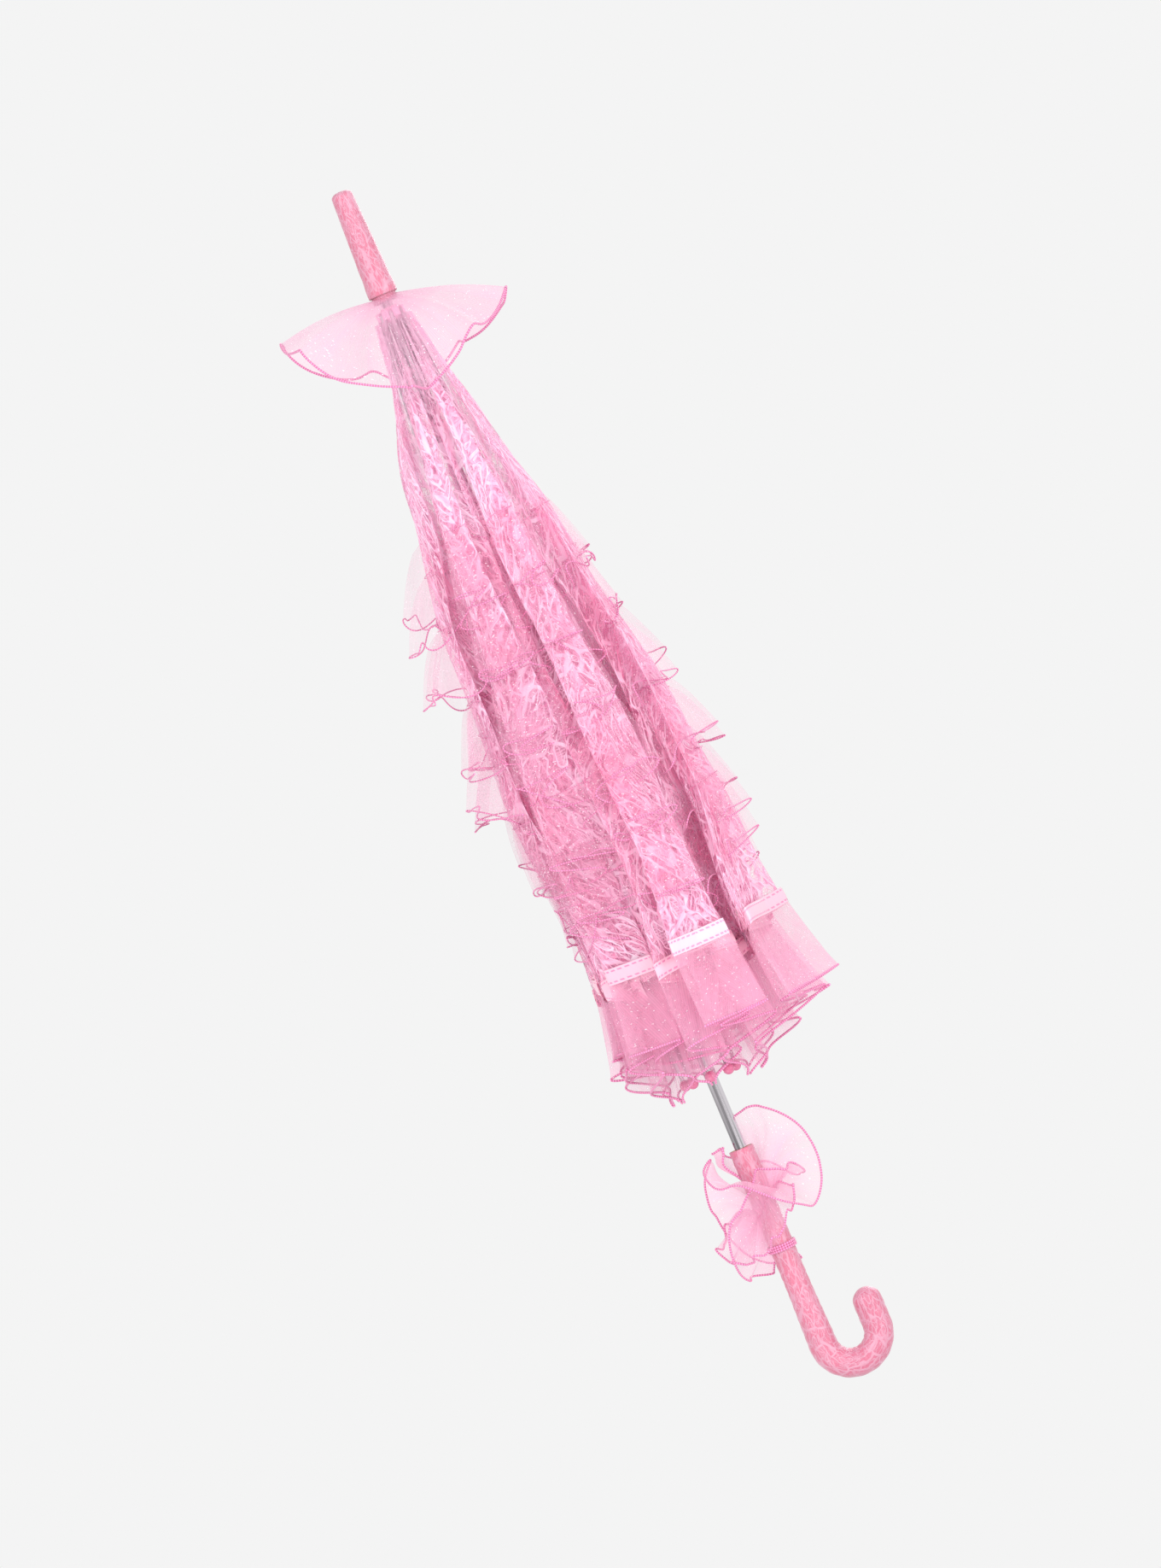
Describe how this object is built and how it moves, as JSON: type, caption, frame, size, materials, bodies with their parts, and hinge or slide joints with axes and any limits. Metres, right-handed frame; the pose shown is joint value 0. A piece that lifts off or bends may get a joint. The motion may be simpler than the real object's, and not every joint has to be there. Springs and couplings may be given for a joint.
{
  "type": "lace parasol",
  "caption": "Folding stick parasol with a lace canopy, organza frills, steel ribs on a sliding runner and a covered J-shaped crook handle.",
  "frame": {"origin": "middle of the straight grip of the handle, on the axis of the shaft", "axes": "+Z along the shaft towards the spike, +X towards the open side of the crook, which lies in the plane y = 0"},
  "size_m": [0.1585, 0.1368, 0.8174],
  "materials": {
    "steel_tube": "polished steel tube",
    "spring_steel": "spring steel",
    "rib_steel": "bright drawn steel",
    "pink_plastic": "moulded, semi gloss",
    "pink_bead": "moulded bead, gloss",
    "core_wood": "plain bent wood, covered",
    "satin_lace": "satin under floral lace",
    "organza": "sheer glitter organza with an overlocked edge",
    "lace": "floral lace on net"
  },
  "bodies": {
    "root": {"shaft": "steel_tube", "stop_pin": "steel_tube", "top_notch": "pink_plastic", "notch_wire": "spring_steel", "ferrule_core": "core_wood", "ferrule_cover": "satin_lace", "crown_ruffle": "organza", "handle_core": "core_wood", "handle_cover": "satin_lace", "handle_ruffle": "organza"},
    "runner": {"runner": "pink_plastic"},
    "bottom_catch": {"bottom_catch": "spring_steel"},
    "top_catch": {"top_catch": "spring_steel"},
    "rib_1": {"rib_1": "rib_steel", "rib_tip_1": "pink_bead"},
    "stretcher_1": {"stretcher_1": "rib_steel"},
    "gore_after_rib_1": {"gore_after_rib_1": "lace"},
    "gore_before_rib_1": {"gore_before_rib_1": "lace"},
    "rib_2": {"rib_2": "rib_steel", "rib_tip_2": "pink_bead"},
    "stretcher_2": {"stretcher_2": "rib_steel"},
    "gore_after_rib_2": {"gore_after_rib_2": "lace"},
    "gore_before_rib_2": {"gore_before_rib_2": "lace"},
    "rib_3": {"rib_3": "rib_steel", "rib_tip_3": "pink_bead"},
    "stretcher_3": {"stretcher_3": "rib_steel"},
    "gore_after_rib_3": {"gore_after_rib_3": "lace"},
    "gore_before_rib_3": {"gore_before_rib_3": "lace"},
    "rib_4": {"rib_4": "rib_steel", "rib_tip_4": "pink_bead"},
    "stretcher_4": {"stretcher_4": "rib_steel"},
    "gore_after_rib_4": {"gore_after_rib_4": "lace"},
    "gore_before_rib_4": {"gore_before_rib_4": "lace"},
    "rib_5": {"rib_5": "rib_steel", "rib_tip_5": "pink_bead"},
    "stretcher_5": {"stretcher_5": "rib_steel"},
    "gore_after_rib_5": {"gore_after_rib_5": "lace"},
    "gore_before_rib_5": {"gore_before_rib_5": "lace"},
    "rib_6": {"rib_6": "rib_steel", "rib_tip_6": "pink_bead"},
    "stretcher_6": {"stretcher_6": "rib_steel"},
    "gore_after_rib_6": {"gore_after_rib_6": "lace"},
    "gore_before_rib_6": {"gore_before_rib_6": "lace"},
    "rib_7": {"rib_7": "rib_steel", "rib_tip_7": "pink_bead"},
    "stretcher_7": {"stretcher_7": "rib_steel"},
    "gore_after_rib_7": {"gore_after_rib_7": "lace"},
    "gore_before_rib_7": {"gore_before_rib_7": "lace"},
    "rib_8": {"rib_8": "rib_steel", "rib_tip_8": "pink_bead"},
    "stretcher_8": {"stretcher_8": "rib_steel"},
    "gore_after_rib_8": {"gore_after_rib_8": "lace"},
    "gore_before_rib_8": {"gore_before_rib_8": "lace"}
  },
  "joints": [
    {"name": "runner_slide", "type": "slide", "parent": "root", "child": "runner", "axis": [0, 0, 1], "range_m": [0, 0.34157], "deforming": ["crown_ruffle"]},
    {"name": "bottom_catch_press", "type": "slide", "parent": "root", "child": "bottom_catch", "axis": [0, -1, 0], "range_m": [0, 0.002], "stiffness_N_per_m": 1500},
    {"name": "top_catch_press", "type": "slide", "parent": "root", "child": "top_catch", "axis": [0, -1, 0], "range_m": [0, 0.002], "stiffness_N_per_m": 1500},
    {"name": "rib_1_swing", "type": "hinge", "parent": "root", "child": "rib_1", "pos_m": [0.008, 0, 0.644], "axis": [0, -1, 0], "range_deg": [0, 75.01]},
    {"name": "stretcher_1_fold", "type": "hinge", "parent": "rib_1", "child": "stretcher_1", "pos_m": [0.01997, 0, 0.42918], "axis": [0, -1, 0], "range_deg": [-150.02, 0]},
    {"name": "gore_after_rib_1_unfold", "type": "hinge", "parent": "rib_1", "child": "gore_after_rib_1", "pos_m": [0.008, 0, 0.644], "axis": [0.7005, 0.4695, -0.5375], "range_deg": [0, 27.34]},
    {"name": "gore_before_rib_1_unfold", "type": "hinge", "parent": "rib_1", "child": "gore_before_rib_1", "pos_m": [0.008, 0, 0.644], "axis": [-0.7005, 0.4695, 0.5375], "range_deg": [0, 27.34]},
    {"name": "rib_2_swing", "type": "hinge", "parent": "root", "child": "rib_2", "pos_m": [0.00566, 0.00566, 0.644], "axis": [0.7071, -0.7071, 0], "range_deg": [0, 75.01]},
    {"name": "stretcher_2_fold", "type": "hinge", "parent": "rib_2", "child": "stretcher_2", "pos_m": [0.01412, 0.01412, 0.42918], "axis": [0.7071, -0.7071, 0], "range_deg": [-150.02, 0]},
    {"name": "gore_after_rib_2_unfold", "type": "hinge", "parent": "rib_2", "child": "gore_after_rib_2", "pos_m": [0.00566, 0.00566, 0.644], "axis": [0.2767, 0.7737, -0.5699], "range_deg": [0, 26.98]},
    {"name": "gore_before_rib_2_unfold", "type": "hinge", "parent": "rib_2", "child": "gore_before_rib_2", "pos_m": [0.00566, 0.00566, 0.644], "axis": [-0.8273, -0.1634, 0.5375], "range_deg": [0, 27.34]},
    {"name": "rib_3_swing", "type": "hinge", "parent": "root", "child": "rib_3", "pos_m": [0, 0.008, 0.644], "axis": [1, 0, 0], "range_deg": [0, 75.01]},
    {"name": "stretcher_3_fold", "type": "hinge", "parent": "rib_3", "child": "stretcher_3", "pos_m": [0, 0.01997, 0.42918], "axis": [1, 0, 0], "range_deg": [-150.02, 0]},
    {"name": "gore_after_rib_3_unfold", "type": "hinge", "parent": "rib_3", "child": "gore_after_rib_3", "pos_m": [0, 0.008, 0.644], "axis": [-0.3515, 0.7427, -0.5699], "range_deg": [0, 26.98]},
    {"name": "gore_before_rib_3_unfold", "type": "hinge", "parent": "rib_3", "child": "gore_before_rib_3", "pos_m": [0, 0.008, 0.644], "axis": [-0.3515, -0.7427, 0.5699], "range_deg": [0, 26.98]},
    {"name": "rib_4_swing", "type": "hinge", "parent": "root", "child": "rib_4", "pos_m": [-0.00566, 0.00566, 0.644], "axis": [0.7071, 0.7071, 0], "range_deg": [0, 75.01]},
    {"name": "stretcher_4_fold", "type": "hinge", "parent": "rib_4", "child": "stretcher_4", "pos_m": [-0.01412, 0.01412, 0.42918], "axis": [0.7071, 0.7071, 0], "range_deg": [-150.02, 0]},
    {"name": "gore_after_rib_4_unfold", "type": "hinge", "parent": "rib_4", "child": "gore_after_rib_4", "pos_m": [-0.00566, 0.00566, 0.644], "axis": [-0.7368, 0.3402, -0.5843], "range_deg": [0, 26.97]},
    {"name": "gore_before_rib_4_unfold", "type": "hinge", "parent": "rib_4", "child": "gore_before_rib_4", "pos_m": [-0.00566, 0.00566, 0.644], "axis": [0.2767, -0.7737, 0.5699], "range_deg": [0, 26.98]},
    {"name": "rib_5_swing", "type": "hinge", "parent": "root", "child": "rib_5", "pos_m": [-0.008, 0, 0.644], "axis": [0, 1, 0], "range_deg": [0, 75.01]},
    {"name": "stretcher_5_fold", "type": "hinge", "parent": "rib_5", "child": "stretcher_5", "pos_m": [-0.01997, 0, 0.42918], "axis": [0, 1, 0], "range_deg": [-150.02, 0]},
    {"name": "gore_after_rib_5_unfold", "type": "hinge", "parent": "rib_5", "child": "gore_after_rib_5", "pos_m": [-0.008, 0, 0.644], "axis": [-0.7615, -0.2804, -0.5843], "range_deg": [0, 26.97]},
    {"name": "gore_before_rib_5_unfold", "type": "hinge", "parent": "rib_5", "child": "gore_before_rib_5", "pos_m": [-0.008, 0, 0.644], "axis": [0.7615, -0.2804, 0.5843], "range_deg": [0, 26.97]},
    {"name": "rib_6_swing", "type": "hinge", "parent": "root", "child": "rib_6", "pos_m": [-0.00566, -0.00566, 0.644], "axis": [-0.7071, 0.7071, 0], "range_deg": [0, 75.01]},
    {"name": "stretcher_6_fold", "type": "hinge", "parent": "rib_6", "child": "stretcher_6", "pos_m": [-0.01412, -0.01412, 0.42918], "axis": [-0.7071, 0.7071, 0], "range_deg": [-150.02, 0]},
    {"name": "gore_after_rib_6_unfold", "type": "hinge", "parent": "rib_6", "child": "gore_after_rib_6", "pos_m": [-0.00566, -0.00566, 0.644], "axis": [-0.3086, -0.7558, -0.5775], "range_deg": [0, 26.95]},
    {"name": "gore_before_rib_6_unfold", "type": "hinge", "parent": "rib_6", "child": "gore_before_rib_6", "pos_m": [-0.00566, -0.00566, 0.644], "axis": [0.7368, 0.3402, 0.5843], "range_deg": [0, 26.97]},
    {"name": "rib_7_swing", "type": "hinge", "parent": "root", "child": "rib_7", "pos_m": [0, -0.008, 0.644], "axis": [-1, 0, 0], "range_deg": [0, 75.01]},
    {"name": "stretcher_7_fold", "type": "hinge", "parent": "rib_7", "child": "stretcher_7", "pos_m": [0, -0.01997, 0.42918], "axis": [-1, 0, 0], "range_deg": [-150.02, 0]},
    {"name": "gore_after_rib_7_unfold", "type": "hinge", "parent": "rib_7", "child": "gore_after_rib_7", "pos_m": [0, -0.008, 0.644], "axis": [0.4201, -0.7199, -0.5524], "range_deg": [0, 27.13]},
    {"name": "gore_before_rib_7_unfold", "type": "hinge", "parent": "rib_7", "child": "gore_before_rib_7", "pos_m": [0, -0.008, 0.644], "axis": [0.3162, 0.7527, 0.5775], "range_deg": [0, 26.95]},
    {"name": "rib_8_swing", "type": "hinge", "parent": "root", "child": "rib_8", "pos_m": [0.00566, -0.00566, 0.644], "axis": [-0.7071, -0.7071, 0], "range_deg": [0, 75.01]},
    {"name": "stretcher_8_fold", "type": "hinge", "parent": "rib_8", "child": "stretcher_8", "pos_m": [0.01412, -0.01412, 0.42918], "axis": [-0.7071, -0.7071, 0], "range_deg": [-150.02, 0]},
    {"name": "gore_after_rib_8_unfold", "type": "hinge", "parent": "rib_8", "child": "gore_after_rib_8", "pos_m": [0.00566, -0.00566, 0.644], "axis": [0.8273, -0.1634, -0.5375], "range_deg": [0, 27.34]},
    {"name": "gore_before_rib_8_unfold", "type": "hinge", "parent": "rib_8", "child": "gore_before_rib_8", "pos_m": [0.00566, -0.00566, 0.644], "axis": [-0.212, 0.8061, 0.5524], "range_deg": [0, 27.13]}
  ],
  "couplings": [
    {"joint": "rib_1_swing", "follows": "runner_slide", "rad_per_m": 3.8323},
    {"joint": "stretcher_1_fold", "follows": "runner_slide", "rad_per_m": -7.6646},
    {"joint": "gore_after_rib_1_unfold", "follows": "runner_slide", "rad_per_m": 1.3964},
    {"joint": "gore_before_rib_1_unfold", "follows": "runner_slide", "rad_per_m": 1.3964},
    {"joint": "rib_2_swing", "follows": "runner_slide", "rad_per_m": 3.8323},
    {"joint": "stretcher_2_fold", "follows": "runner_slide", "rad_per_m": -7.6646},
    {"joint": "gore_after_rib_2_unfold", "follows": "runner_slide", "rad_per_m": 1.3779},
    {"joint": "gore_before_rib_2_unfold", "follows": "runner_slide", "rad_per_m": 1.3964},
    {"joint": "rib_3_swing", "follows": "runner_slide", "rad_per_m": 3.8323},
    {"joint": "stretcher_3_fold", "follows": "runner_slide", "rad_per_m": -7.6646},
    {"joint": "gore_after_rib_3_unfold", "follows": "runner_slide", "rad_per_m": 1.3779},
    {"joint": "gore_before_rib_3_unfold", "follows": "runner_slide", "rad_per_m": 1.3779},
    {"joint": "rib_4_swing", "follows": "runner_slide", "rad_per_m": 3.8323},
    {"joint": "stretcher_4_fold", "follows": "runner_slide", "rad_per_m": -7.6646},
    {"joint": "gore_after_rib_4_unfold", "follows": "runner_slide", "rad_per_m": 1.3775},
    {"joint": "gore_before_rib_4_unfold", "follows": "runner_slide", "rad_per_m": 1.3779},
    {"joint": "rib_5_swing", "follows": "runner_slide", "rad_per_m": 3.8323},
    {"joint": "stretcher_5_fold", "follows": "runner_slide", "rad_per_m": -7.6646},
    {"joint": "gore_after_rib_5_unfold", "follows": "runner_slide", "rad_per_m": 1.3775},
    {"joint": "gore_before_rib_5_unfold", "follows": "runner_slide", "rad_per_m": 1.3775},
    {"joint": "rib_6_swing", "follows": "runner_slide", "rad_per_m": 3.8323},
    {"joint": "stretcher_6_fold", "follows": "runner_slide", "rad_per_m": -7.6646},
    {"joint": "gore_after_rib_6_unfold", "follows": "runner_slide", "rad_per_m": 1.3767},
    {"joint": "gore_before_rib_6_unfold", "follows": "runner_slide", "rad_per_m": 1.3775},
    {"joint": "rib_7_swing", "follows": "runner_slide", "rad_per_m": 3.8323},
    {"joint": "stretcher_7_fold", "follows": "runner_slide", "rad_per_m": -7.6646},
    {"joint": "gore_after_rib_7_unfold", "follows": "runner_slide", "rad_per_m": 1.3857},
    {"joint": "gore_before_rib_7_unfold", "follows": "runner_slide", "rad_per_m": 1.3767},
    {"joint": "rib_8_swing", "follows": "runner_slide", "rad_per_m": 3.8323},
    {"joint": "stretcher_8_fold", "follows": "runner_slide", "rad_per_m": -7.6646},
    {"joint": "gore_after_rib_8_unfold", "follows": "runner_slide", "rad_per_m": 1.3964},
    {"joint": "gore_before_rib_8_unfold", "follows": "runner_slide", "rad_per_m": 1.3857}
  ]
}
